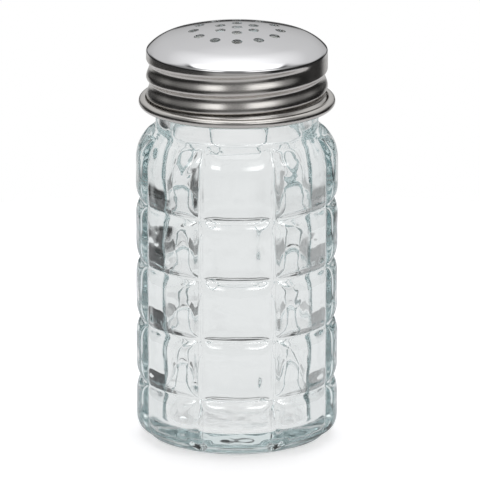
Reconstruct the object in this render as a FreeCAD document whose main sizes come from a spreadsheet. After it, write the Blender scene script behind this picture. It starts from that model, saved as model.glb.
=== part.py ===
# A table shaker for salt, pepper or spice: a pressed glass jar and its perforated steel screw cap.
# Millimetres. The origin is the centre of the base, +Z is up and -Y is the front.
import FreeCAD
import Part
import Sketcher
import math
import os

# Driving dimensions: name, value, what it measures
DIMENSIONS = [
    ("jar_diameter", 45.2, "over the faces of two opposite columns"),
    ("jar_height", 89.6, "base to the lip of the neck"),
    ("column_count", 8, "columns of blocks around the jar"),
    ("flute_depth", 1.5, "upright flute, below the faces"),
    ("flute_edge_radius", 5.5, "rounded left and right edge of each block"),
    ("flute_root_radius", 0.9, "round bottom of the upright flutes"),
    ("row_count", 5, "rows of blocks, one above the other"),
    ("first_groove_height", 13.8, "base to the lowest ring groove"),
    ("top_row_height", 10.05, "highest ring groove to the start of the shoulder"),
    ("row_groove_depth", 1.4, "ring groove, below the faces"),
    ("block_edge_radius", 5.0, "rounded upper and lower edge of each block"),
    ("row_root_width", 0.6, "bottom of a ring groove, along the jar"),
    ("heel_radius", 6.5, "rounded foot of the jar"),
    ("finish_height", 24.2, "lip down to the start of the shoulder"),
    ("shoulder_radius", 8.5, "curve of the shoulder"),
    ("neck_root_radius", 1.2, "hollow between shoulder and neck"),
    ("neck_diameter", 36.4, "outside of the neck"),
    ("lip_radius", 0.8, "rounded edges of the lip"),
    ("mouth_diameter", 31.2, "bore of the neck"),
    ("cavity_diameter", 32.4, "inside of the jar below the neck"),
    ("throat_depth", 23.6, "lip down to where the inside starts to narrow"),
    ("cavity_narrowing", 6.0, "height over which the inside narrows"),
    ("floor_thickness", 4.8, "solid glass under the cavity"),
    ("floor_corner_radius", 2.0, "inside corner at the floor"),
    ("base_recess_diameter", 27.0, "hollow under the base, inside the bearing ring"),
    ("base_recess_depth", 0.8, "rise of that hollow at its middle"),
    ("cap_diameter", 40.6, "outside of the cap's skirt"),
    ("sheet_thickness", 0.45, "steel of the cap"),
    ("dome_radius", 38.0, "outside curve of the dome"),
    ("dome_corner_radius", 1.2, "outside corner between dome and skirt"),
    ("skirt_height", 10.3, "middle of the rolled edge to the dome's corner"),
    ("curl_diameter", 2.15, "outside of the rolled edge"),
    ("curl_end_angle", 112.0, "where the roll stops, in degrees from straight out"),
    ("seat_clearance", 0.1, "gap between the lip's outer edge and the dome"),
    ("hole_diameter", 2.4, "each sprinkling hole"),
    ("inner_hole_count", 6, "holes in the inner ring"),
    ("inner_ring_radius", 4.3, "middle of the dome to the inner ring"),
    ("outer_hole_count", 12, "holes in the outer ring"),
    ("outer_ring_radius", 9.7, "middle of the dome to the outer ring"),
]

# How far a cutting shape runs past the surface that it cuts
CUT_MARGIN = 3.0
# How far a cut's rounded edge starts outside the glass, so that the surfaces cross
EDGE_MARGIN = 0.05

doc = FreeCAD.newDocument("SpiceShaker")
sheet = doc.addObject("Spreadsheet::Sheet", "Sizes")
for line, (alias, value, note) in enumerate(DIMENSIONS, start=1):
    sheet.set(f"A{line}", alias)
    sheet.set(f"B{line}", str(value))
    sheet.set(f"C{line}", note)
    sheet.setAlias(f"B{line}", alias)
doc.recompute()


def size(alias):
    """One driving dimension, read from the sheet."""
    return float(getattr(sheet, alias))


def origin_part(body, role):
    """One plane or axis of a body's own origin."""
    return next(part for part in body.Origin.OriginFeatures if part.Role == role)


class Outline:
    """A sketch on one of a body's planes, drawn edge by edge as one closed loop."""

    def __init__(self, body, name, plane="XZ_Plane"):
        self.sketch = body.newObject("Sketcher::SketchObject", name)
        self.sketch.AttachmentSupport = [(origin_part(body, plane), "")]
        self.sketch.MapMode = "FlatFace"
        self.edges = []

    def line(self, start, end):
        """Add a straight edge and return its number."""
        vectors = [FreeCAD.Vector(x, y, 0) for x, y in (start, end)]
        index = self.sketch.addGeometry(Part.LineSegment(*vectors), False)
        self.edges.append((index, 1, 2))
        return index

    def arc(self, centre, radius, first, last):
        """Add an arc between two angles in degrees, drawn from the first to the last."""
        circle = Part.Circle(FreeCAD.Vector(*centre, 0), FreeCAD.Vector(0, 0, 1), radius)
        low, high = sorted((math.radians(first), math.radians(last)))
        index = self.sketch.addGeometry(Part.ArcOfCircle(circle, low, high), False)
        ends = (1, 2) if first < last else (2, 1)
        self.edges.append((index, *ends))
        return index

    def close(self, smooth=()):
        """Join each edge to the next, with a smooth joint after the edges listed."""
        for edge, following in zip(self.edges, self.edges[1:] + self.edges[:1]):
            kind = "Tangent" if edge[0] in smooth else "Coincident"
            self.rule(kind, edge[0], edge[2], following[0], following[1])

    def rule(self, *terms):
        """Add one constraint and return its number."""
        return self.sketch.addConstraint(Sketcher.Constraint(*terms))

    def level(self, *lines):
        """Keep straight edges level."""
        for index in lines:
            self.rule("Horizontal", index)

    def upright(self, *lines):
        """Keep straight edges upright."""
        for index in lines:
            self.rule("Vertical", index)

    def start_of(self, index):
        """The point at which the loop enters an edge."""
        return next(first for number, first, last in self.edges if number == index)

    def end_of(self, index):
        """The point at which the loop leaves an edge."""
        return next(last for number, first, last in self.edges if number == index)

    def place(self, index, point, across=None, up=None):
        """Hold a point at distances from the origin, each an expression on the sheet."""
        now = self.sketch.getPoint(index, point)
        for axis, value, expression in (("X", now.x, across), ("Y", now.y, up)):
            if expression is not None:
                number = self.rule(f"Distance{axis}", -1, 1, index, point, value)
                self.sketch.setExpression(f"Constraints[{number}]", expression)

    def radius(self, index, expression):
        """Hold the radius of an arc or a circle."""
        now = self.sketch.Geometry[index].Radius
        number = self.rule("Radius", index, now)
        self.sketch.setExpression(f"Constraints[{number}]", expression)


CENTRE = 3


def new_body(name):
    """A body whose label names its file."""
    body = doc.addObject("PartDesign::Body", name)
    body.Label = name
    body.Placement = FreeCAD.Placement()
    return body


def turned(body, outline, name, kind):
    """Turn a closed outline about the upright axis, as a revolution or a groove."""
    feature = body.newObject(f"PartDesign::{kind}", name)
    feature.Profile = outline.sketch
    feature.ReferenceAxis = (outline.sketch, ["V_Axis"])
    feature.Angle = 360.0
    outline.sketch.Visibility = False
    doc.recompute()
    body.Tip = feature
    return feature


def ring_of(body, feature, name, count):
    """Repeat a feature evenly around the upright axis."""
    pattern = body.newObject("PartDesign::PolarPattern", name)
    pattern.Originals = [feature]
    pattern.Axis = (origin_part(body, "Z_Axis"), [""])
    pattern.Angle = 360.0
    pattern.setExpression("Occurrences", count)
    body.Tip = pattern
    doc.recompute()
    return pattern


# Radii that several outlines share, as numbers for drawing and as expressions for holding
jar_radius = size("jar_diameter") / 2
neck_radius = size("neck_diameter") / 2
mouth_radius = size("mouth_diameter") / 2
cavity_radius = size("cavity_diameter") / 2
edge_reach = jar_radius + EDGE_MARGIN
outer_reach = jar_radius + CUT_MARGIN
EDGE_REACH = f"Sizes.jar_diameter / 2 + {EDGE_MARGIN}"
OUTER_REACH = f"Sizes.jar_diameter / 2 + {CUT_MARGIN}"

# Heights that follow from the jar's height
shoulder_height = size("jar_height") - size("finish_height")
narrowing_height = size("jar_height") - size("throat_depth")
SHOULDER_HEIGHT = "(Sizes.jar_height - Sizes.finish_height)"
NARROWING_HEIGHT = "(Sizes.jar_height - Sizes.throat_depth)"


def flute_outline(body):
    """One flute seen from above: two rounded edges that run into a round bottom."""
    edge = size("flute_edge_radius")
    root = size("flute_root_radius")
    bottom = jar_radius - size("flute_depth") + root
    # The edges' centres lie on a circle about the axis, where both arcs touch the bottom's arc
    ring = edge_reach - edge
    swing = math.acos((ring ** 2 + bottom ** 2 - (edge + root) ** 2) / (2 * ring * bottom))
    turn = math.degrees(swing)
    lean = math.degrees(math.atan2(ring * math.sin(swing), bottom - ring * math.cos(swing)))
    side_up = edge_reach * math.sin(swing)
    side_across = edge_reach * math.cos(swing)
    centre = (ring * math.cos(swing), ring * math.sin(swing))
    outline = Outline(body, "FluteOutline", "XY_Plane")
    outline.sketch.AttachmentOffset.Rotation.Axis = FreeCAD.Vector(0, 0, 1)
    outline.sketch.setExpression("AttachmentOffset.Rotation.Angle", "180 deg / Sizes.column_count - 90 deg")
    first = outline.arc((centre[0], -centre[1]), edge, -turn, lean)
    floor = outline.arc((bottom, 0), root, lean + 180, 180 - lean)
    last = outline.arc(centre, edge, -lean, turn)
    upper = outline.line((side_across, side_up), (outer_reach, side_up))
    side = outline.line((outer_reach, side_up), (outer_reach, -side_up))
    lower = outline.line((outer_reach, -side_up), (side_across, -side_up))
    outline.close(smooth=(first, floor))
    outline.level(upper, lower)
    outline.upright(side)
    outline.place(side, outline.end_of(side), across=OUTER_REACH)
    outline.place(floor, CENTRE, up="0",
                  across="Sizes.jar_diameter / 2 - Sizes.flute_depth + Sizes.flute_root_radius")
    outline.radius(floor, "Sizes.flute_root_radius")
    for arc, start in ((first, outline.start_of(first)), (last, outline.end_of(last))):
        outline.radius(arc, "Sizes.flute_edge_radius")
        spoke = outline.sketch.addGeometry(
            Part.LineSegment(FreeCAD.Vector(0, 0, 0), outline.sketch.getPoint(arc, start)), True)
        outline.rule("Coincident", spoke, 1, -1, 1)
        outline.rule("Coincident", spoke, 2, arc, start)
        outline.rule("PointOnObject", arc, CENTRE, spoke)
        number = outline.rule("Distance", spoke, edge_reach)
        outline.sketch.setExpression(f"Constraints[{number}]", EDGE_REACH)
    return outline


def jar_columns(body):
    """A round blank with an upright flute between each two columns of blocks."""
    outline = Outline(body, "BlankOutline", "XY_Plane")
    circle = Part.Circle(FreeCAD.Vector(0, 0, 0), FreeCAD.Vector(0, 0, 1), jar_radius)
    index = outline.sketch.addGeometry(circle, False)
    outline.rule("Coincident", index, CENTRE, -1, 1)
    outline.radius(index, "Sizes.jar_diameter / 2")
    blank = body.newObject("PartDesign::Pad", "Blank")
    blank.Profile = outline.sketch
    blank.setExpression("Length", "Sizes.jar_height")
    body.Tip = blank
    doc.recompute()
    flute = flute_outline(body)
    cut = body.newObject("PartDesign::Pocket", "Flute")
    cut.Profile = flute.sketch
    cut.Type = "ThroughAll"
    cut.Reversed = True
    body.Tip = cut
    doc.recompute()
    ring_of(body, cut, "Flutes", "Sizes.column_count")


def jar_foot(body):
    """The rounded heel around the base."""
    heel = size("heel_radius")
    centre = edge_reach - heel
    outline = Outline(body, "HeelOutline")
    arc = outline.arc((centre, heel), heel, -90, 0)
    top = outline.line((edge_reach, heel), (outer_reach, heel))
    side = outline.line((outer_reach, heel), (outer_reach, -CUT_MARGIN))
    under = outline.line((outer_reach, -CUT_MARGIN), (centre, -CUT_MARGIN))
    inner = outline.line((centre, -CUT_MARGIN), (centre, 0))
    outline.close()
    outline.level(top, under)
    outline.upright(side, inner)
    outline.place(arc, CENTRE, across=f"{EDGE_REACH} - Sizes.heel_radius", up="Sizes.heel_radius")
    outline.radius(arc, "Sizes.heel_radius")
    outline.rule("Vertical", arc, CENTRE, arc, outline.start_of(arc))
    outline.rule("Horizontal", arc, CENTRE, arc, outline.end_of(arc))
    outline.place(side, outline.end_of(side), across=OUTER_REACH, up=f"-{CUT_MARGIN}")
    turned(body, outline, "Heel", "Groove")


def jar_shoulder(body):
    """The shoulder, the hollow under the neck, the plain neck and the outer edge of the lip."""
    shoulder = size("shoulder_radius")
    hollow = size("neck_root_radius")
    lip = size("lip_radius")
    top = size("jar_height")
    low = shoulder_height
    curve = (edge_reach - shoulder, low)
    across = neck_radius + hollow - curve[0]
    rise = math.sqrt((shoulder + hollow) ** 2 - across ** 2)
    turn = math.degrees(math.atan2(rise, across))
    root = (neck_radius + hollow, low + rise)
    outline = Outline(body, "ShoulderOutline")
    bottom = outline.line((outer_reach, low), (edge_reach, low))
    convex = outline.arc(curve, shoulder, 0, turn)
    concave = outline.arc(root, hollow, turn + 180, 180)
    neck = outline.line((neck_radius, root[1]), (neck_radius, top - lip))
    edge = outline.arc((neck_radius - lip, top - lip), lip, 0, 90)
    inner = outline.line((neck_radius - lip, top), (neck_radius - lip, top + CUT_MARGIN))
    over = outline.line((neck_radius - lip, top + CUT_MARGIN), (outer_reach, top + CUT_MARGIN))
    side = outline.line((outer_reach, top + CUT_MARGIN), (outer_reach, low))
    outline.close(smooth=(convex, concave, neck))
    outline.level(bottom, over)
    outline.upright(neck, inner, side)
    outline.place(convex, CENTRE, across=f"{EDGE_REACH} - Sizes.shoulder_radius",
                  up=SHOULDER_HEIGHT)
    outline.radius(convex, "Sizes.shoulder_radius")
    outline.rule("Horizontal", convex, CENTRE, convex, outline.start_of(convex))
    outline.radius(concave, "Sizes.neck_root_radius")
    outline.place(neck, outline.end_of(neck), across="Sizes.neck_diameter / 2")
    outline.radius(edge, "Sizes.lip_radius")
    outline.place(edge, CENTRE, up="Sizes.jar_height - Sizes.lip_radius")
    outline.rule("Vertical", edge, CENTRE, edge, outline.end_of(edge))
    outline.place(over, outline.end_of(over), across=OUTER_REACH,
                  up=f"Sizes.jar_height + {CUT_MARGIN}")
    turned(body, outline, "Shoulder", "Groove")


def jar_ring_grooves(body):
    """The ring grooves that part each column into blocks with rounded upper and lower edges."""
    edge = size("block_edge_radius")
    middle = size("first_groove_height")
    half_root = size("row_root_width") / 2
    floor = jar_radius - size("row_groove_depth")
    curve = edge_reach - edge
    rise = math.sqrt(edge ** 2 - (floor - curve) ** 2)
    turn = math.degrees(math.atan2(rise, floor - curve))
    low, high = middle - half_root - rise, middle + half_root + rise
    outline = Outline(body, "RingGrooveOutline")
    under = outline.line((outer_reach, low), (edge_reach, low))
    lower = outline.arc((curve, low), edge, 0, turn)
    root = outline.line((floor, middle - half_root), (floor, middle + half_root))
    upper = outline.arc((curve, high), edge, -turn, 0)
    over = outline.line((edge_reach, high), (outer_reach, high))
    side = outline.line((outer_reach, high), (outer_reach, low))
    outline.close()
    outline.level(under, over)
    outline.upright(root, side)
    outline.place(side, outline.end_of(side), across=OUTER_REACH)
    outline.place(root, outline.start_of(root), up="Sizes.first_groove_height - Sizes.row_root_width / 2",
                  across="Sizes.jar_diameter / 2 - Sizes.row_groove_depth")
    outline.place(root, outline.end_of(root), up="Sizes.first_groove_height + Sizes.row_root_width / 2")
    for arc, start in ((lower, outline.start_of(lower)), (upper, outline.end_of(upper))):
        outline.radius(arc, "Sizes.block_edge_radius")
        outline.place(arc, CENTRE, across=f"{EDGE_REACH} - Sizes.block_edge_radius")
        outline.rule("Horizontal", arc, CENTRE, arc, start)
    groove = turned(body, outline, "RingGroove", "Groove")
    rows = body.newObject("PartDesign::LinearPattern", "RingGrooves")
    rows.Originals = [groove]
    rows.Direction = (origin_part(body, "Z_Axis"), [""])
    rows.setExpression("Length", f"{SHOULDER_HEIGHT} - Sizes.top_row_height - Sizes.first_groove_height")
    rows.setExpression("Occurrences", "Sizes.row_count - 1")
    body.Tip = rows
    doc.recompute()


def jar_cavity(body):
    """The hollow of the jar: floor, wall, narrowing, mouth and the inner edge of the lip."""
    corner = size("floor_corner_radius")
    floor = size("floor_thickness")
    lip = size("lip_radius")
    top = size("jar_height")
    narrowing = narrowing_height
    mouth_start = narrowing + size("cavity_narrowing")
    outline = Outline(body, "CavityOutline")
    base = outline.line((0, floor), (cavity_radius - corner, floor))
    bend = outline.arc((cavity_radius - corner, floor + corner), corner, -90, 0)
    wall = outline.line((cavity_radius, floor + corner), (cavity_radius, narrowing))
    slope = outline.line((cavity_radius, narrowing), (mouth_radius, mouth_start))
    mouth = outline.line((mouth_radius, mouth_start), (mouth_radius, top - lip))
    edge = outline.arc((mouth_radius + lip, top - lip), lip, 180, 90)
    rise = outline.line((mouth_radius + lip, top), (mouth_radius + lip, top + CUT_MARGIN))
    over = outline.line((mouth_radius + lip, top + CUT_MARGIN), (0, top + CUT_MARGIN))
    axis = outline.line((0, top + CUT_MARGIN), (0, floor))
    outline.close(smooth=(base, bend, mouth))
    outline.level(base, over)
    outline.upright(wall, mouth, rise, axis)
    outline.rule("PointOnObject", axis, outline.end_of(axis), -2)
    outline.place(bend, CENTRE, up="Sizes.floor_thickness + Sizes.floor_corner_radius")
    outline.radius(bend, "Sizes.floor_corner_radius")
    outline.place(wall, outline.end_of(wall), across="Sizes.cavity_diameter / 2",
                  up=NARROWING_HEIGHT)
    outline.place(slope, outline.end_of(slope), across="Sizes.mouth_diameter / 2",
                  up=f"{NARROWING_HEIGHT} + Sizes.cavity_narrowing")
    outline.place(edge, CENTRE, up="Sizes.jar_height - Sizes.lip_radius")
    outline.radius(edge, "Sizes.lip_radius")
    outline.rule("Vertical", edge, CENTRE, edge, outline.end_of(edge))
    outline.place(over, outline.start_of(over), up=f"Sizes.jar_height + {CUT_MARGIN}")
    turned(body, outline, "Cavity", "Groove")


def jar_recess(body):
    """The shallow hollow under the base that leaves a bearing ring."""
    half = size("base_recess_diameter") / 2
    depth = size("base_recess_depth")
    radius = (half ** 2 + depth ** 2) / (2 * depth)
    turn = math.degrees(math.asin(half / radius))
    outline = Outline(body, "RecessOutline")
    roof = outline.arc((0, depth - radius), radius, 90 - turn, 90)
    axis = outline.line((0, depth), (0, -CUT_MARGIN))
    under = outline.line((0, -CUT_MARGIN), (half, -CUT_MARGIN))
    side = outline.line((half, -CUT_MARGIN), (half, 0))
    outline.close()
    outline.level(under)
    outline.upright(axis, side)
    outline.rule("PointOnObject", roof, CENTRE, -2)
    outline.rule("PointOnObject", axis, outline.start_of(axis), -2)
    outline.place(axis, outline.start_of(axis), up="Sizes.base_recess_depth")
    outline.place(side, outline.end_of(side), across="Sizes.base_recess_diameter / 2", up="0")
    outline.place(under, outline.start_of(under), up=f"-{CUT_MARGIN}")
    turned(body, outline, "BaseRecess", "Groove")


def make_glass_jar():
    """The pressed glass jar."""
    body = new_body("glass_jar")
    jar_columns(body)
    jar_foot(body)
    jar_shoulder(body)
    jar_ring_grooves(body)
    jar_cavity(body)
    jar_recess(body)
    return body


# The dome rests just over the lip's outer rounding, which sets the height of the whole cap
LIP_ACROSS = "(Sizes.neck_diameter / 2 - Sizes.lip_radius)"
LIP_UP = "(Sizes.jar_height - Sizes.lip_radius)"
SEAT_RADIUS = "(Sizes.dome_radius - Sizes.sheet_thickness - Sizes.seat_clearance - Sizes.lip_radius)"
DOME_CENTRE = f"({LIP_UP} - sqrt({SEAT_RADIUS} ^ 2 - {LIP_ACROSS} ^ 2))"


def dome_centre_height():
    """The height of the middle of the dome's curve, as DOME_CENTRE gives it."""
    lip = size("lip_radius")
    seat = size("dome_radius") - size("sheet_thickness") - size("seat_clearance") - lip
    return size("jar_height") - lip - math.sqrt(seat ** 2 - (neck_radius - lip) ** 2)


def cap_sheet(body):
    """One sheet of steel: dome, corner, skirt and an edge rolled outwards."""
    sheet_depth = size("sheet_thickness")
    outer = size("cap_diameter") / 2
    inner = outer - sheet_depth
    dome = size("dome_radius")
    corner = size("dome_corner_radius")
    roll = size("curl_diameter") / 2
    centre = (0, dome_centre_height())
    bend_across = outer - corner
    bend_up = centre[1] + math.sqrt((dome - corner) ** 2 - bend_across ** 2)
    turn = math.degrees(math.atan2(bend_up - centre[1], bend_across))
    roll_up = bend_up - size("skirt_height")
    roll_centre = (inner + roll, roll_up)
    stop = size("curl_end_angle")

    def roll_point(radius):
        angle = math.radians(stop)
        return (roll_centre[0] + radius * math.cos(angle), roll_up + radius * math.sin(angle))

    outline = Outline(body, "SheetOutline")
    axis = outline.line((0, centre[1] + dome - sheet_depth), (0, centre[1] + dome))
    dome_out = outline.arc(centre, dome, 90, turn)
    corner_out = outline.arc((bend_across, bend_up), corner, turn, 0)
    skirt_out = outline.line((outer, bend_up), (outer, roll_up))
    roll_in = outline.arc(roll_centre, roll - sheet_depth, -180, stop)
    lip = outline.line(roll_point(roll - sheet_depth), roll_point(roll))
    roll_out = outline.arc(roll_centre, roll, stop, -180)
    skirt_in = outline.line((inner, roll_up), (inner, bend_up))
    corner_in = outline.arc((bend_across, bend_up), corner - sheet_depth, 0, turn)
    dome_in = outline.arc(centre, dome - sheet_depth, turn, 90)
    outline.close(smooth=(dome_out, corner_out, skirt_out, roll_out, skirt_in, corner_in))
    outline.upright(axis, skirt_out, skirt_in)
    outline.rule("PointOnObject", axis, outline.start_of(axis), -2)
    outline.place(dome_out, CENTRE, across="0", up=DOME_CENTRE)
    outline.radius(dome_out, "Sizes.dome_radius")
    outline.rule("Coincident", dome_out, CENTRE, dome_in, CENTRE)
    outline.radius(dome_in, "Sizes.dome_radius - Sizes.sheet_thickness")
    outline.radius(corner_out, "Sizes.dome_corner_radius")
    outline.rule("Coincident", corner_out, CENTRE, corner_in, CENTRE)
    outline.place(skirt_out, outline.start_of(skirt_out), across="Sizes.cap_diameter / 2")
    outline.rule("Coincident", roll_in, CENTRE, roll_out, CENTRE)
    outline.radius(roll_out, "Sizes.curl_diameter / 2")
    drop = outline.rule("DistanceY", roll_out, CENTRE, corner_out, CENTRE, bend_up - roll_up)
    outline.sketch.setExpression(f"Constraints[{drop}]", "Sizes.skirt_height")
    outline.rule("PointOnObject", roll_out, CENTRE, lip)
    slant = outline.rule("Angle", lip, math.radians(stop))
    outline.sketch.setExpression(f"Constraints[{slant}]", "Sizes.curl_end_angle")
    turned(body, outline, "Sheet", "Revolution")


def cap_hole(body, name, ring_radius):
    """One round hole punched through the dome, centred or in front of the middle."""
    outline = Outline(body, f"{name}Outline", "XY_Plane")
    across = -size(ring_radius) if ring_radius else 0
    circle = Part.Circle(FreeCAD.Vector(0, across, 0), FreeCAD.Vector(0, 0, 1), size("hole_diameter") / 2)
    index = outline.sketch.addGeometry(circle, False)
    outline.radius(index, "Sizes.hole_diameter / 2")
    outline.place(index, CENTRE, across="0", up=f"-Sizes.{ring_radius}" if ring_radius else "0")
    hole = body.newObject("PartDesign::Pocket", name)
    hole.Profile = outline.sketch
    hole.Type = "ThroughAll"
    hole.Reversed = True
    doc.recompute()
    body.Tip = hole
    return hole


def make_screw_cap():
    """The stamped steel cap, with one middle hole and two rings of holes."""
    body = new_body("screw_cap")
    cap_sheet(body)
    cap_hole(body, "MiddleHole", None)
    inner = cap_hole(body, "InnerHole", "inner_ring_radius")
    ring_of(body, inner, "InnerHoles", "Sizes.inner_hole_count")
    outer = cap_hole(body, "OuterHole", "outer_ring_radius")
    ring_of(body, outer, "OuterHoles", "Sizes.outer_hole_count")
    return body


bodies = [make_glass_jar(), make_screw_cap()]
doc.recompute()

for item in doc.Objects:
    if "Invalid" in item.State or "Error" in item.State:
        raise RuntimeError(f"{item.Name} did not rebuild: {item.State}")
for body in bodies:
    shape = body.Shape
    if shape.isNull() or not shape.isValid() or len(shape.Solids) != 1:
        raise RuntimeError(f"{body.Label} is not one sound solid")

os.makedirs("parts", exist_ok=True)
for body in bodies:
    body.Shape.exportStep(f"parts/{body.Label}.step")
    box = body.Shape.BoundBox
    print(f"{body.Label}: {body.Shape.Volume:.1f} mm3, "
          f"{box.XLength:.2f} x {box.YLength:.2f} x {box.ZLength:.2f} mm, "
          f"z {box.ZMin:.2f} to {box.ZMax:.2f}, {len(body.Shape.Faces)} faces")
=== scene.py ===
import bmesh
import bpy
import math
from mathutils import Matrix, Vector, noise


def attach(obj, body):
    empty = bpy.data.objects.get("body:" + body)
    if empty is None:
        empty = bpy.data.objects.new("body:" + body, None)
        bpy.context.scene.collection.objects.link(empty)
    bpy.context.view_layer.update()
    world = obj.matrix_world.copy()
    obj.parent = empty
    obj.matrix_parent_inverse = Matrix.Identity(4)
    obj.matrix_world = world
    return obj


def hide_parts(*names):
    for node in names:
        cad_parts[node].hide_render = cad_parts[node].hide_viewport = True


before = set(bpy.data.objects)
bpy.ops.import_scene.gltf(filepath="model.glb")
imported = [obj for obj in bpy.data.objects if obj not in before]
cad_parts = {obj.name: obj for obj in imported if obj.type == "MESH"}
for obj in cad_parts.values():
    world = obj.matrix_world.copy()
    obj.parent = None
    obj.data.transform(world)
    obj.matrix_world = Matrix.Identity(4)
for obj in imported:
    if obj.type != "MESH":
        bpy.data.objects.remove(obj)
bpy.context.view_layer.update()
mm = 0.001  # sizes below are in millimetres, meshes in metres
print("frame loaded")

# What the photograph fixes: where the axis of the shaker and its base fall, and how large it is
photo = {
    "side": 480,
    "axisX": 237.0,
    "baseY": 433.2,
    "pixelsPerMm": 4.45,
    "elevation": math.radians(16.0),
    "distance": 1700.0,
    "sensor": 36.0,
}


def smooth(value, low, high):  # 0 below low, 1 above high, eased between
    share = min(max((value - low) / (high - low), 0.0), 1.0)
    return share * share * (3.0 - 2.0 * share)


def softLarger(first, second, blend):  # the larger of two depths, rounded where they cross
    near = max(blend - abs(first - second), 0.0) / blend
    return max(first, second) + near * near * blend / 4.0


def arcPoints(centre, radius, first, last, steps):  # angles in degrees, both ends included
    angles = [math.radians(first + (last - first) * step / steps) for step in range(steps + 1)]
    return [(centre[0] + radius * math.cos(a), centre[1] + radius * math.sin(a)) for a in angles]


def linePoints(start, end, steps):  # the start is left out, the end is included
    shares = [step / steps for step in range(1, steps + 1)]
    return [(start[0] + (end[0] - start[0]) * s, start[1] + (end[1] - start[1]) * s) for s in shares]


def spunProfile(points, turns):  # a profile in mm, radius and height, turned about the upright axis
    mesh = bmesh.new()
    chain = [mesh.verts.new((x * mm, 0.0, z * mm)) for x, z in points]
    for first, second in zip(chain, chain[1:]):
        mesh.edges.new((first, second))
    bmesh.ops.spin(mesh, geom=mesh.verts[:] + mesh.edges[:], cent=(0, 0, 0), axis=(0, 0, 1),
                   angle=2 * math.pi, steps=turns, use_merge=True)
    bmesh.ops.remove_doubles(mesh, verts=mesh.verts, dist=1e-6)
    bmesh.ops.recalc_face_normals(mesh, faces=mesh.faces)
    return mesh


def madeObject(name, mesh, material):
    data = bpy.data.meshes.new(name)
    for face in mesh.faces:
        face.smooth = True
    mesh.to_mesh(data)
    mesh.free()
    piece = bpy.data.objects.new(name, data)
    bpy.context.scene.collection.objects.link(piece)
    data.materials.append(material)
    return piece


def frontAngle(x, y):  # 0 at the front, growing to the viewer's right, in degrees
    return math.degrees(math.atan2(x, -y))


# Screw thread shared by neck and cap: right-handed, one start
thread = {
    "pitch": 4.23,
    "grooveHeight": 87.1,  # bottom of the cap's top groove at the front
    "crestShare": 0.36,    # from one groove's bottom up to the crest above it, in pitches
    "startAngle": 58.0,    # where the groove fades out under the dome
    "fadeAngle": 34.0,
}


def threadWave(angle, height):  # 0 on a crest, 1 in a groove's bottom, and the unrolled angle there
    turn = (height - thread["grooveHeight"]) / thread["pitch"] - angle / 360.0
    share = turn - math.floor(turn)
    crest = thread["crestShare"]
    if share < crest:
        wave = 0.5 + 0.5 * math.cos(math.pi * share / crest)
    else:
        wave = 0.5 - 0.5 * math.cos(math.pi * (share - crest) / (1.0 - crest))
    nearest = math.floor(turn + 1.0 - crest)
    return wave, angle + 360.0 * nearest


# Materials
def newMaterial(name):
    material = bpy.data.materials.new(name)
    material.use_nodes = True
    nodes = material.node_tree.nodes
    return material, nodes, material.node_tree.links, nodes["Principled BSDF"]


glass = {
    "surface": (0.99, 0.99, 0.99, 1),
    "ior": 1.52,
    "tint": (0.42, 0.64, 0.66, 1),
    "tintDensity": 9.5,    # how strongly a metre of glass takes the tint
    "waviness": 180.0,     # the fine unevenness of a pressed surface
    "wavinessDetail": 1.5,
    "wavinessStrength": 0.35,
    "wavinessDepth": 0.0004,
}


def glassMaterial():
    material, nodes, links, shader = newMaterial("clearGlass")
    shader.inputs["Base Color"].default_value = glass["surface"]
    shader.inputs["Roughness"].default_value = 0.0
    shader.inputs["IOR"].default_value = glass["ior"]
    shader.inputs["Transmission Weight"].default_value = 1.0
    coords = nodes.new("ShaderNodeTexCoord")
    ripple = nodes.new("ShaderNodeTexNoise")
    ripple.inputs["Scale"].default_value = glass["waviness"]
    ripple.inputs["Detail"].default_value = glass["wavinessDetail"]
    bump = nodes.new("ShaderNodeBump")
    bump.inputs["Strength"].default_value = glass["wavinessStrength"]
    bump.inputs["Distance"].default_value = glass["wavinessDepth"]
    links.new(coords.outputs["Object"], ripple.inputs["Vector"])
    links.new(ripple.outputs["Fac"], bump.inputs["Height"])
    links.new(bump.outputs["Normal"], shader.inputs["Normal"])
    absorb = nodes.new("ShaderNodeVolumeAbsorption")
    absorb.inputs["Color"].default_value = glass["tint"]
    absorb.inputs["Density"].default_value = glass["tintDensity"]
    links.new(absorb.outputs["Volume"], nodes["Material Output"].inputs["Volume"])
    return material


def mixed(nodes, links, share, first, second):  # two plain colours by a share over the surface
    mix = nodes.new("ShaderNodeMix")
    mix.data_type = "RGBA"
    mix.inputs["A"].default_value = first
    mix.inputs["B"].default_value = second
    links.new(share, mix.inputs["Factor"])
    return mix.outputs["Result"]


def spread(nodes, links, value, low, high, first, second):  # runs from first at low to second at high
    span = nodes.new("ShaderNodeMapRange")
    for name, number in zip(("From Min", "From Max", "To Min", "To Max"), (low, high, first, second)):
        span.inputs[name].default_value = number
    links.new(value, span.inputs["Value"])
    return span.outputs[0]


steel = {
    "polished": (0.72, 0.72, 0.735, 1),
    "satin": (0.62, 0.60, 0.575, 1),
    "polishedRoughness": 0.07,
    "satinRoughness": 0.2,
    "polishFrom": 0.0885,   # heights in metres between which satin turns to polish
    "polishTo": 0.0897,
    "scratchScale": (60, 60, 9000),
    "scratchStrength": 0.5,
    "scratchDepth": 0.00002,
    "scratchOnDome": 0.05,
    "smudgeScale": 160.0,
    "smudgeRange": (-0.03, 0.05),
}


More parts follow.
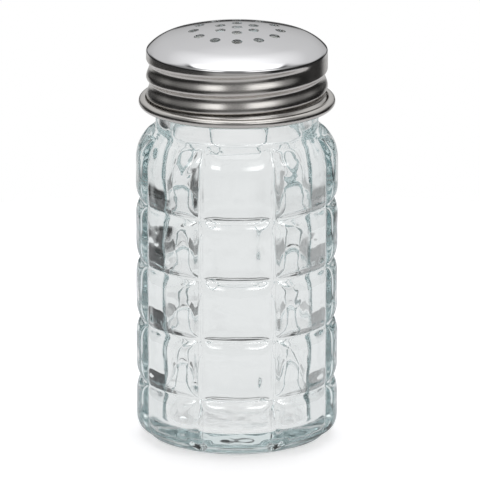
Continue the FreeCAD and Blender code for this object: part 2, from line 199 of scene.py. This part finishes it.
def steelMaterial():  # mirror-bright dome, satin skirt with fine marks of turning round it
    material, nodes, links, shader = newMaterial("stainlessSheet")
    shader.inputs["Metallic"].default_value = 1.0
    coords = nodes.new("ShaderNodeTexCoord")
    split = nodes.new("ShaderNodeSeparateXYZ")
    links.new(coords.outputs["Object"], split.inputs[0])
    polish = spread(nodes, links, split.outputs["Z"], steel["polishFrom"], steel["polishTo"], 0.0, 1.0)
    links.new(mixed(nodes, links, polish, steel["satin"], steel["polished"]), shader.inputs["Base Color"])

    stretch = nodes.new("ShaderNodeMapping")
    stretch.inputs["Scale"].default_value = steel["scratchScale"]
    links.new(coords.outputs["Object"], stretch.inputs["Vector"])
    marks = nodes.new("ShaderNodeTexNoise")
    marks.inputs["Scale"].default_value = 1.0
    marks.inputs["Detail"].default_value = 3.0
    links.new(stretch.outputs[0], marks.inputs["Vector"])
    smudge = nodes.new("ShaderNodeTexNoise")
    smudge.inputs["Scale"].default_value = steel["smudgeScale"]
    smudge.inputs["Detail"].default_value = 4.0
    links.new(coords.outputs["Object"], smudge.inputs["Vector"])

    plain = spread(nodes, links, polish, 0.0, 1.0, steel["satinRoughness"], steel["polishedRoughness"])
    wear = spread(nodes, links, smudge.outputs["Fac"], 0.3, 0.7, *steel["smudgeRange"])
    rough = nodes.new("ShaderNodeMath")
    rough.operation = "ADD"
    links.new(plain, rough.inputs[0])
    links.new(wear, rough.inputs[1])
    links.new(rough.outputs[0], shader.inputs["Roughness"])

    grain = nodes.new("ShaderNodeMath")
    grain.operation = "MULTIPLY"
    links.new(marks.outputs["Fac"], grain.inputs[0])
    links.new(spread(nodes, links, polish, 0.0, 1.0, 1.0, steel["scratchOnDome"]), grain.inputs[1])
    bump = nodes.new("ShaderNodeBump")
    bump.inputs["Strength"].default_value = steel["scratchStrength"]
    bump.inputs["Distance"].default_value = steel["scratchDepth"]
    links.new(grain.outputs[0], bump.inputs["Height"])
    links.new(bump.outputs["Normal"], shader.inputs["Normal"])
    return material


# Jar of pressed glass
jar = {
    "radius": 22.6,
    "height": 89.6,
    "heelAcross": 7.2,
    "heelUp": 5.2,
    "groove": 13.8,
    "rowPitch": 13.85,
    "grooves": 4,
    "grooveDepth": 1.4,
    "edge": 5.0,
    "root": 0.3,
    "columns": 8,
    "fluteDepth": 1.5,
    "fluteEdge": 5.5,
    "fluteRoot": 0.5,
    "cornerBlend": 0.9,
    "lobes": 0.75,        # how far the flutes carry on over heel and shoulder
    "shoulderHeight": 63.8,
    "shoulder": 9.9,
    "neckRoot": 1.2,
    "neck": 18.2,
    "lip": 0.8,
    "mouth": 15.6,
    "cavity": 16.2,
    "cavityTop": 66.0,
    "mouthStart": 72.0,
    "floor": 4.8,
    "floorCorner": 2.0,
    "recess": 13.5,
    "recessDepth": 0.8,
    "turns": 256,
    "wallSteps": 148,
    "neckSteps": 60,
    "arcSteps": 24,
    "rippleInside": 0.42,
    "rippleFine": 0.05,
    "rippleFineLength": 3.6,
    "rippleOutside": 0.05,
    "rippleLength": 9.0,
    "rippleBase": 0.14,   # the recess under the base, as the cold mould leaves it
    "rippleEnd": 86.0,    # the ripple dies out over the 10 mm below this height
    "threadHeight": 0.95,
    "threadSlimness": 1.7,
    "threadLow": 76.6,
    "threadHigh": 87.6,
    "threadFade": 0.8,
    "seamAngle": -10.0,   # where the two halves of the mould met, and again on the far side
    "seamHeight": 0.07,
    "seamWidth": 1.5,     # half the ridge, in degrees
    "seamLow": 50.0,
    "seamFull": 58.0,
}


def valleyDepth(offset, depth, edge, root):  # depth of a groove at a distance from its middle
    across = edge + root - depth
    half = math.sqrt((edge + root) ** 2 - across ** 2)
    offset = abs(offset)
    meet = half * root / (edge + root)
    if offset >= half:
        return 0.0
    if offset <= meet:
        return depth - root + math.sqrt(root ** 2 - offset ** 2)
    return edge - math.sqrt(edge ** 2 - (half - offset) ** 2)


def jarProfile():  # radius and height, from the middle of the base round to the middle of the floor
    wide, heel, radius = jar["heelAcross"], jar["heelUp"], jar["radius"]
    lip, top, neck, mouth = jar["lip"], jar["height"], jar["neck"], jar["mouth"]
    recess, rise, corner = jar["recess"], jar["recessDepth"], jar["floorCorner"]
    shoulder, shoulderHeight = jar["shoulder"], jar["shoulderHeight"]
    root, steps = jar["neckRoot"], jar["arcSteps"]
    bowl = (recess ** 2 + rise ** 2) / (2 * rise)
    bowlTurn = math.degrees(math.asin(recess / bowl))
    points = arcPoints((0, rise - bowl), bowl, 90, 90 - bowlTurn, 12)
    points += linePoints((recess, 0), (radius - wide, 0), 3)
    points += [(radius - wide + x * wide / heel, z) for x, z in arcPoints((0, heel), heel, -90, 0, steps)[1:]]
    points += linePoints((radius, heel), (radius, shoulderHeight), jar["wallSteps"])
    across = neck + root - (radius - shoulder)
    climb = math.sqrt((shoulder + root) ** 2 - across ** 2)
    turn = math.degrees(math.atan2(climb, across))
    points += arcPoints((radius - shoulder, shoulderHeight), shoulder, 0, turn, steps)[1:]
    neckStart = shoulderHeight + climb
    points += arcPoints((neck + root, neckStart), root, turn + 180, 180, 6)[1:]
    points += linePoints((neck, neckStart), (neck, top - lip), jar["neckSteps"])
    points += arcPoints((neck - lip, top - lip), lip, 0, 90, 6)[1:]
    points += arcPoints((mouth + lip, top - lip), lip, 90, 180, 6)
    points += linePoints((mouth, top - lip), (mouth, jar["mouthStart"]), 8)
    points += linePoints((mouth, jar["mouthStart"]), (jar["cavity"], jar["cavityTop"]), 6)
    points += linePoints((jar["cavity"], jar["cavityTop"]), (jar["cavity"], jar["floor"] + corner), steps)
    points += arcPoints((jar["cavity"] - corner, jar["floor"] + corner), corner, 0, -90, 8)[1:]
    points += linePoints((jar["cavity"] - corner, jar["floor"]), (0, jar["floor"]), 8)
    return points


def pressedWall(radius, angle, z, rings):  # the outside after the flutes and ring grooves are pressed in
    step = 360.0 / jar["columns"]
    offset = math.radians((angle % step) - step / 2) * jar["radius"]
    flute = valleyDepth(offset, jar["fluteDepth"], jar["fluteEdge"], jar["fluteRoot"])
    ring = max(valleyDepth(z - middle, jar["grooveDepth"], jar["edge"], jar["root"]) for middle in rings)
    turned = jar["radius"] - radius  # how far heel or shoulder has already turned in
    ring = max(ring, turned)
    moved = jar["radius"] - softLarger(flute, ring, jar["cornerBlend"]) + jar["cornerBlend"] / 4.0
    moved -= jar["lobes"] * min(flute, turned) * smooth(z, 0.2, 2.0)
    moved = min(moved, jar["radius"])
    fade = smooth(radius, jar["neck"] + 1.0, jar["neck"] + 1.8)
    moved = radius + (moved - radius) * fade
    seam = abs((angle - jar["seamAngle"] + 90.0) % 180.0 - 90.0) / jar["seamWidth"]
    return moved + jar["seamHeight"] * max(0.0, 1.0 - seam) * smooth(z, jar["seamLow"], jar["seamFull"])


def threadedNeck(radius, angle, z):
    low, high, fade = jar["threadLow"], jar["threadHigh"], jar["threadFade"]
    wave, unrolled = threadWave(angle, z)
    ends = smooth(z, low - fade, low + fade)
    ends *= 1.0 - smooth(z, high - fade, high + fade)
    return radius + jar["threadHeight"] * max(0.0, 1.0 - wave * jar["threadSlimness"]) * ends


def glassRipple(place, height):
    wave = noise.noise(place / jar["rippleLength"]) * height
    wave += noise.noise(place / jar["rippleFineLength"]) * min(height, jar["rippleFine"])
    return wave


def shapeJar(mesh):  # blocks pressed into the wall, thread raised on the neck, ripple all over
    rings = [jar["groove"] + jar["rowPitch"] * row for row in range(jar["grooves"])]
    for vert in mesh.verts:
        x, y, z = (value / mm for value in vert.co)
        place = Vector((x, y, z))
        radius = math.hypot(x, y)
        angle = frontAngle(x, y)
        moved = radius
        if radius > jar["neck"] + 1.0:
            moved = pressedWall(radius, angle, z, rings)
        elif abs(radius - jar["neck"]) < 0.2 and z > jar["threadLow"] - 1.0:
            moved = threadedNeck(radius, angle, z)
        if radius < jar["cavity"] + 0.1 and z > jar["floor"] + 0.1:
            height = jar["rippleInside"] * smooth(z, jar["floor"], jar["floor"] + 4.0)
        else:
            height = jar["rippleOutside"] * smooth(z, 2.0, 6.0)
        moved += glassRipple(place, height) * smooth(jar["rippleEnd"] - z, 0.0, 10.0)
        if radius > 0.001:
            vert.co.x *= moved / radius
            vert.co.y *= moved / radius
        if z < jar["recessDepth"] + 0.01 and radius < jar["recess"]:
            fade = 1.0 - smooth(radius, jar["recess"] - 1.5, jar["recess"])
            vert.co.z += noise.noise(place / jar["rippleFineLength"]) * jar["rippleBase"] * fade * mm


jarMesh = spunProfile(jarProfile(), jar["turns"])
shapeJar(jarMesh)
glassJar = madeObject("pressedJar", jarMesh, glassMaterial())
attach(glassJar, "jar")
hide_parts("glass_jar")
print("jar made")

# Cap of stainless sheet
cap = {
    "radius": 20.3,
    "sheet": 0.45,
    "crown": 58.0,
    "knuckle": 9.0,
    "knuckleSlope": 47.0,
    "corner": 1.0,
    "skirtTop": 89.1,
    "rollHeight": 77.7,
    "curl": 1.075,
    "curlEnd": 112.0,
    "grooveDepth": 0.72,
    "turns": 256,
    "skirtSteps": 76,
    "holeRadius": 1.2,
    "holeRings": ((1, 0.0), (6, 4.3), (12, 9.7)),
    "holeSides": 40,
    "punchHeight": 92.0,
    "punchLength": 12.0,
    "sharpFrom": 40.0,     # edges that turn more than this stay sharp, as round the holes
}


def domeArcs(offset):  # crown, knuckle and corner as centre, radius, first and last angle, offset inwards
    crown, knuckle, corner = cap["crown"], cap["knuckle"], cap["corner"]
    last = math.radians(cap["knuckleSlope"])
    reach = cap["radius"] - knuckle * math.sin(last) - corner * (1 - math.sin(last))
    first = math.asin(reach / (crown - knuckle))
    cornerAt = (cap["radius"] - corner, cap["skirtTop"])
    inward = knuckle - corner
    knuckleAt = (cornerAt[0] - inward * math.sin(last), cornerAt[1] - inward * math.cos(last))
    crownAt = (0.0, knuckleAt[1] - (crown - knuckle) * math.cos(first))
    joint, bend = 90 - math.degrees(first), 90 - cap["knuckleSlope"]
    return ((crownAt, crown - offset, 90, joint), (knuckleAt, knuckle - offset, joint, bend),
            (cornerAt, corner - offset, bend, 0))


def capProfile():  # the outside from the top down, round the rolled edge and back up the inside
    outer, sheetDepth = cap["radius"], cap["sheet"]
    inner = outer - sheetDepth
    rollUp, bendUp = cap["rollHeight"], cap["skirtTop"]
    roll = (inner + cap["curl"], rollUp)
    stop = cap["curlEnd"]
    steps = (40, 12, 8)
    points = [(0.0, domeArcs(0)[0][0][1] + cap["crown"])]
    for (centre, radius, first, last), count in zip(domeArcs(0), steps):
        points += arcPoints(centre, radius, first, last, count)[1:]
    points += linePoints((outer, bendUp), (outer, rollUp), cap["skirtSteps"])
    points += arcPoints(roll, cap["curl"] - sheetDepth, -180, stop, 24)[1:]
    points += arcPoints(roll, cap["curl"], stop, -180, 32)
    points += linePoints((inner, rollUp), (inner, bendUp), cap["skirtSteps"])
    for (centre, radius, first, last), count in zip(domeArcs(sheetDepth)[::-1], steps[::-1]):
        points += arcPoints(centre, radius, last, first, count)[1:]
    return points, bendUp, rollUp


def shapeCap(mesh, bendUp, rollUp):  # roll the thread into the skirt, both faces of the sheet together
    for vert in mesh.verts:
        x, y, z = (value / mm for value in vert.co)
        radius = math.hypot(x, y)
        onSkirt = cap["radius"] - cap["sheet"] - 0.01 < radius < cap["radius"] + 0.01
        if onSkirt and rollUp < z < bendUp + 0.01:
            wave, unrolled = threadWave(frontAngle(x, y), z)
            depth = cap["grooveDepth"] * wave
            depth *= smooth(z, rollUp + 0.3, rollUp + 1.6) * (1.0 - smooth(z, bendUp - 0.9, bendUp + 0.2))
            depth *= 1.0 - smooth(unrolled, thread["fadeAngle"], thread["startAngle"])
            vert.co.x *= (radius - depth) / radius
            vert.co.y *= (radius - depth) / radius


def holeCutter():  # one upright rod for every hole in the dome
    mesh = bmesh.new()
    hole = cap["holeRadius"] * mm
    for count, ring in cap["holeRings"]:
        for number in range(count):
            angle = math.radians(360.0 * number / count)
            place = (ring * mm * math.sin(angle), -ring * mm * math.cos(angle), cap["punchHeight"] * mm)
            bmesh.ops.create_cone(mesh, cap_ends=True, segments=cap["holeSides"], radius1=hole, radius2=hole,
                                  depth=cap["punchLength"] * mm, matrix=Matrix.Translation(place))
    data = bpy.data.meshes.new("holeCutter")
    mesh.to_mesh(data)
    mesh.free()
    cutter = bpy.data.objects.new("holeCutter", data)
    bpy.context.scene.collection.objects.link(cutter)
    return cutter


def punchHoles(piece):
    cutter = holeCutter()
    cut = piece.modifiers.new("holes", "BOOLEAN")
    cut.operation = "DIFFERENCE"
    cut.solver = "EXACT"
    cut.object = cutter
    bpy.context.view_layer.update()
    depsgraph = bpy.context.evaluated_depsgraph_get()
    punched = bpy.data.meshes.new_from_object(piece.evaluated_get(depsgraph))
    piece.modifiers.clear()
    piece.data = punched
    bpy.data.objects.remove(cutter)
    mesh = bmesh.new()
    mesh.from_mesh(punched)
    for edge in mesh.edges:
        edge.smooth = len(edge.link_faces) == 2 and edge.calc_face_angle(0.0) < math.radians(cap["sharpFrom"])
    for face in mesh.faces:
        face.smooth = True
    mesh.to_mesh(punched)
    mesh.free()


capPoints, bendUp, rollUp = capProfile()
capMesh = spunProfile(capPoints, cap["turns"])
shapeCap(capMesh, bendUp, rollUp)
steelCap = madeObject("threadedCap", capMesh, steelMaterial())
punchHoles(steelCap)
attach(steelCap, "cap")
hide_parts("screw_cap")
print("cap made")

# Studio: white floor, soft lights, and a surround that the metal and the glass reflect
studio = {
    "floorRadius": 0.2,
    "floorColour": (0.8, 0.8, 0.81, 1),
    "floorGlow": 0.5,      # added where the camera sees the floor
    "floorThrough": 0.86,  # how bright the floor shows through the glass
    "ambient": 0.5,
    # What metal and glass reflect: levels by height from -1, straight down, to 1, straight up
    "rear": ((-1.0, 0.7), (-0.15, 0.6), (-0.1, 0.04), (-0.01, 0.04), (0.04, 0.5), (0.3, 0.66), (0.6, 0.76),
             (0.85, 1.1), (1.0, 1.5)),
    "front": ((-1.0, 0.45), (-0.26, 0.5), (-0.1, 0.35), (0.05, 0.1), (0.3, 0.18), (0.45, 0.35), (0.77, 0.35),
              (0.79, 0.06), (0.82, 0.06), (0.84, 1.6)),
    "frontLights": 1.2,
    "lightsHeight": (0.3, 0.42, 0.7, 0.76),  # where a light starts, is full, starts to fade and ends
    "lightLeft": (-0.9, -0.65, -0.45, -0.22),
    "lightRight": (0.1, 0.35, 0.7, 0.95),
    "gloomLeft": (-0.42, -0.75, 0.9),        # from and to sideways, and how much of the light goes
    "gloomRight": (0.45, 0.75, 0.95),
    "sparkle": 6.5,        # the front lights as the glass alone reflects them
    # What shows through the glass
    "through": ((-1.0, 0.86), (0.13, 0.86), (0.17, 0.45), (0.27, 0.45), (0.32, 0.86), (0.55, 0.86),
                (0.6, 0.15), (0.68, 0.15), (0.73, 1.7), (1.0, 1.7)),
    "throughLeft": 0.05,
    "throughRight": 0.38,
    "throughSides": (0.32, 0.65),
    "throughFront": 0.32,
    "darkCard": 0.02,      # small cards low behind the jar, drawn out by the grooves' upper flanks
    "cards": ((-0.42, -0.38, -0.3, -0.26), (0.26, 0.3, 0.38, 0.42), (-0.17, -0.1, 0.1, 0.17)),
    "cardHeight": (0.105, 0.135, 0.285, 0.32),
    # Soft lights: name, place, width, height, how bright each looks (1 is white), colour
    "lamps": (
        ("overhead", (0, 0.35, 0.95), 0.9, 0.9, 1.5, (0.95, 0.95, 1.0)),
        ("frontLeft", (-0.67, -0.74, 0.6), 0.42, 0.7, 1.3, (1, 0.98, 0.95)),
        ("frontRight", (0.62, -0.78, 0.6), 0.7, 0.7, 1.3, (1, 0.98, 0.95)),
    ),
    "lampAim": (0, 0, 0.08),
}


class NodeKit:  # short names for the few math nodes that the studio uses
    def __init__(self, tree):
        self.nodes, self.links = tree.nodes, tree.links

    def feed(self, socket, value):
        if isinstance(value, (int, float)):
            socket.default_value = value
        else:
            self.links.new(value, socket)

    def math(self, operation, first, second=0.0):
        node = self.nodes.new("ShaderNodeMath")
        node.operation = operation
        self.feed(node.inputs[0], first)
        self.feed(node.inputs[1], second)
        return node.outputs[0]

    def step(self, value, low, high):  # 0 below low, 1 above high
        node = self.nodes.new("ShaderNodeMapRange")
        node.interpolation_type = "SMOOTHSTEP"
        node.inputs["From Min"].default_value = low
        node.inputs["From Max"].default_value = high
        self.links.new(value, node.inputs["Value"])
        return node.outputs[0]

    def between(self, value, rise, full, fade, end):  # 1 from full to fade, 0 outside rise and end
        return self.math("SUBTRACT", self.step(value, rise, full), self.step(value, fade, end))

    def blend(self, share, first, second):  # first where the share is 0, second where it is 1
        node = self.nodes.new("ShaderNodeMix")
        self.feed(node.inputs["Factor"], share)
        self.feed(node.inputs["A"], first)
        self.feed(node.inputs["B"], second)
        return node.outputs["Result"]

    def levels(self, value, stops):  # straight runs between levels, for a value from -1 to 1
        top = max(level for place, level in stops)
        place = self.math("MULTIPLY_ADD", value, 0.5)
        place.node.inputs[2].default_value = 0.5
        ramp = self.nodes.new("ShaderNodeValToRGB")
        self.links.new(place, ramp.inputs[0])
        while len(ramp.color_ramp.elements) < len(stops):
            ramp.color_ramp.elements.new(0.5)
        for element, (where, level) in zip(ramp.color_ramp.elements, stops):
            element.position = where * 0.5 + 0.5
            element.color = (level / top, level / top, level / top, 1)
        return self.math("MULTIPLY", ramp.outputs["Color"], top)


def floorMaterial():
    material = bpy.data.materials.new("floorWhite")
    material.use_nodes = True
    kit = NodeKit(material.node_tree)
    kit.nodes.clear()
    matte = kit.nodes.new("ShaderNodeBsdfDiffuse")
    matte.inputs["Color"].default_value = studio["floorColour"]
    path = kit.nodes.new("ShaderNodeLightPath")
    glow = kit.nodes.new("ShaderNodeEmission")
    seen = kit.math("MULTIPLY", path.outputs["Is Camera Ray"], studio["floorGlow"])
    kit.feed(glow.inputs["Strength"], seen)
    lit = kit.nodes.new("ShaderNodeAddShader")
    kit.links.new(matte.outputs[0], lit.inputs[0])
    kit.links.new(glow.outputs[0], lit.inputs[1])
    pale = kit.nodes.new("ShaderNodeEmission")
    pale.inputs["Strength"].default_value = studio["floorThrough"]
    both = kit.nodes.new("ShaderNodeMixShader")
    kit.links.new(path.outputs["Is Transmission Ray"], both.inputs[0])
    kit.links.new(lit.outputs[0], both.inputs[1])
    kit.links.new(pale.outputs[0], both.inputs[2])
    out = kit.nodes.new("ShaderNodeOutputMaterial")
    kit.links.new(both.outputs[0], out.inputs["Surface"])
    return material


def makeFloor():
    mesh = bmesh.new()
    bmesh.ops.create_circle(mesh, cap_ends=True, segments=96, radius=studio["floorRadius"])
    floor = madeObject("floor", mesh, floorMaterial())


def softbox(name, place, width, height, level, colour):
    light = bpy.data.lights.new(name, "AREA")
    light.shape = "RECTANGLE"
    light.size, light.size_y = width, height
    light.energy = level * math.pi * width * height
    light.color = colour
    lamp = bpy.data.objects.new(name, light)
    lamp.location = place
    lamp.rotation_euler = (Vector(studio["lampAim"]) - Vector(place)).to_track_quat("-Z", "Y").to_euler()
    lamp.visible_glossy = False  # the surround shows the soft lights' shapes to the metal
    lamp.visible_transmission = False
    bpy.context.scene.collection.objects.link(lamp)


def makeWorld():
    world = bpy.data.worlds.new("surround")
    bpy.context.scene.world = world
    world.use_nodes = True
    kit = NodeKit(world.node_tree)
    coords = kit.nodes.new("ShaderNodeTexCoord")
    direction = kit.nodes.new("ShaderNodeSeparateXYZ")
    kit.links.new(coords.outputs["Generated"], direction.inputs[0])
    up = direction.outputs["Z"]
    reach = kit.math("SUBTRACT", 1.0, kit.math("MULTIPLY", up, up))
    reach = kit.math("SQRT", kit.math("MAXIMUM", reach, 1e-4))
    across = kit.math("DIVIDE", direction.outputs["X"], reach)
    away = kit.math("DIVIDE", direction.outputs["Y"], reach)

    front = kit.levels(up, studio["front"])
    lightLeft, lightRight = (kit.between(across, *studio[side]) for side in ("lightLeft", "lightRight"))
    lights = kit.math("ADD", lightLeft, lightRight)
    lights = kit.math("MULTIPLY", lights, kit.between(up, *studio["lightsHeight"]))
    front = kit.math("ADD", front, kit.math("MULTIPLY", lights, studio["frontLights"]))
    shown = kit.blend(kit.step(away, 0.0, 0.4), front, kit.levels(up, studio["rear"]))
    below = kit.math("SUBTRACT", 1.0, kit.step(up, 0.1, 0.35))
    sides = [kit.math("MULTIPLY", kit.step(across, begin, full), loss)
             for begin, full, loss in (studio["gloomLeft"], studio["gloomRight"])]
    gloom = kit.math("MULTIPLY", kit.math("ADD", *sides), below)
    shown = kit.math("MULTIPLY", shown, kit.math("SUBTRACT", 1.0, gloom))

    through = kit.levels(up, studio["through"])
    wall = kit.between(up, -0.1, 0.0, 0.5, 0.6)
    deepWall = kit.between(up, -0.3, -0.2, 0.5, 0.6)
    side = kit.math("MULTIPLY", kit.step(kit.math("ABSOLUTE", across), *studio["throughSides"]), deepWall)
    sideLevel = kit.blend(kit.step(across, -0.1, 0.1), studio["throughLeft"], studio["throughRight"])
    through = kit.blend(side, through, sideLevel)
    card = 0.0
    for place in studio["cards"]:
        card = kit.math("ADD", card, kit.between(across, *place))
    card = kit.math("MULTIPLY", card, kit.between(up, *studio["cardHeight"]))
    through = kit.blend(card, through, studio["darkCard"])
    nearSide = kit.math("MULTIPLY", kit.step(away, 0.2, -0.3), wall)
    through = kit.blend(nearSide, through, studio["throughFront"])

    path = kit.nodes.new("ShaderNodeLightPath")
    lowFront = kit.math("SUBTRACT", 1.0, kit.step(up, 0.52, 0.62))
    lowFront = kit.math("MULTIPLY", kit.step(away, 0.4, 0.0), lowFront)
    sparkle = kit.math("MULTIPLY", kit.math("MULTIPLY", lights, lowFront), studio["sparkle"])
    shown = kit.math("ADD", shown, kit.math("MULTIPLY", sparkle, path.outputs["Is Singular Ray"]))
    level = kit.blend(path.outputs["Is Glossy Ray"], studio["ambient"], shown)
    level = kit.blend(path.outputs["Is Transmission Ray"], level, through)
    level = kit.blend(path.outputs["Is Camera Ray"], level, 1.0)
    back = kit.nodes["Background"]
    back.inputs["Color"].default_value = (1, 1, 1, 1)
    kit.links.new(level, back.inputs["Strength"])


def makeCamera():
    lens = photo["pixelsPerMm"] * photo["sensor"] * photo["distance"] / photo["side"]
    middle = photo["side"] / 2
    height = (photo["baseY"] - middle) / (photo["pixelsPerMm"] * math.cos(photo["elevation"]))
    sideways = (middle - photo["axisX"]) / photo["pixelsPerMm"]
    aim = Vector((sideways, 0, height)) * mm
    away = Vector((0, -math.cos(photo["elevation"]), math.sin(photo["elevation"])))
    data = bpy.data.cameras.new("camera")
    data.lens = lens
    data.sensor_width = photo["sensor"]
    data.clip_start = 0.1
    data.clip_end = 50
    camera = bpy.data.objects.new("camera", data)
    camera.location = aim + away * photo["distance"] * mm
    camera.rotation_euler = (-away).to_track_quat("-Z", "Y").to_euler()
    bpy.context.scene.collection.objects.link(camera)
    bpy.context.scene.camera = camera


makeFloor()
for lamp in studio["lamps"]:
    softbox(*lamp)
makeWorld()
makeCamera()
scene = bpy.context.scene
scene.view_settings.view_transform = "Standard"
scene.cycles.max_bounces = 32
scene.cycles.transmission_bounces = 32
scene.cycles.glossy_bounces = 16
print("studio made")
